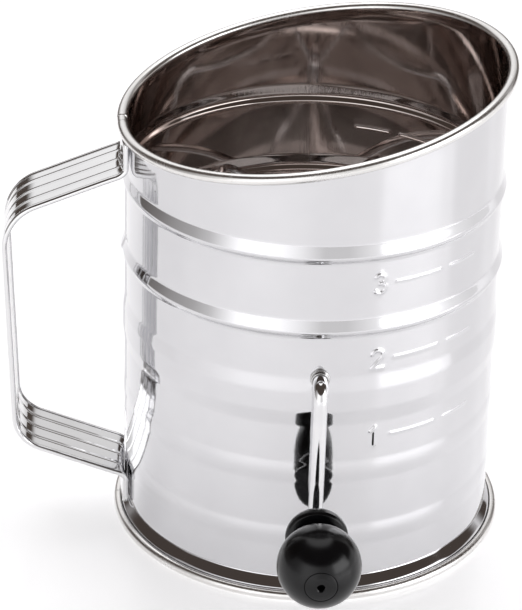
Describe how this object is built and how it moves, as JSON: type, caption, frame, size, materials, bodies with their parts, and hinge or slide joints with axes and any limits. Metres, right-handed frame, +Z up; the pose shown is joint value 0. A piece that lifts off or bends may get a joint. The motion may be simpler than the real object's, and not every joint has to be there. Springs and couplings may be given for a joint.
{
  "type": "flour sifter",
  "caption": "Hand-cranked flour sifter: beaded steel can with slanted mouth, strap handle, wire crank with ball knob, turning wire agitator over a dished screen.",
  "frame": {"origin": "on the can's axis, in the plane of the base bead that the sifter stands on", "axes": "+Z up along the can's axis, -X towards the handle, -Y towards the crank and its knob"},
  "size_m": [0.1502, 0.1572, 0.1492],
  "materials": {
    "can_steel": "mirror-polished stainless sheet",
    "handle_steel": "polished stainless strap",
    "wire_steel": "bright drawn stainless wire",
    "fitting_steel": "satin stamped steel",
    "screen_steel": "woven stainless wire cloth",
    "knob_black": "glossy black moulded plastic"
  },
  "bodies": {
    "root": {"can_body": "can_steel", "handle_strap": "handle_steel", "sieve_screen": "screen_steel", "screen_ring": "can_steel", "front_bushing": "fitting_steel", "rear_bushing": "fitting_steel"},
    "crank": {"crank_wire": "wire_steel", "front_washer": "fitting_steel", "rear_washer": "fitting_steel", "agitator_hub_front": "fitting_steel", "agitator_hub_rear": "fitting_steel", "agitator_bow_1": "wire_steel", "agitator_bow_2": "wire_steel", "agitator_bow_3": "wire_steel", "agitator_bow_4": "wire_steel", "axle_push_nut": "fitting_steel", "knob_push_nut": "fitting_steel"},
    "knob": {"knob_body": "knob_black", "knob_cap": "knob_black"}
  },
  "joints": [
    {"name": "crank_spin", "type": "hinge", "parent": "root", "child": "crank", "pos_m": [0, 0, 0.0732], "axis": [0, 1, 0], "continuous": true},
    {"name": "knob_spin", "type": "hinge", "parent": "crank", "child": "knob", "pos_m": [-0.00056, -0.08, 0.0304], "axis": [0, 1, 0], "continuous": true}
  ]
}
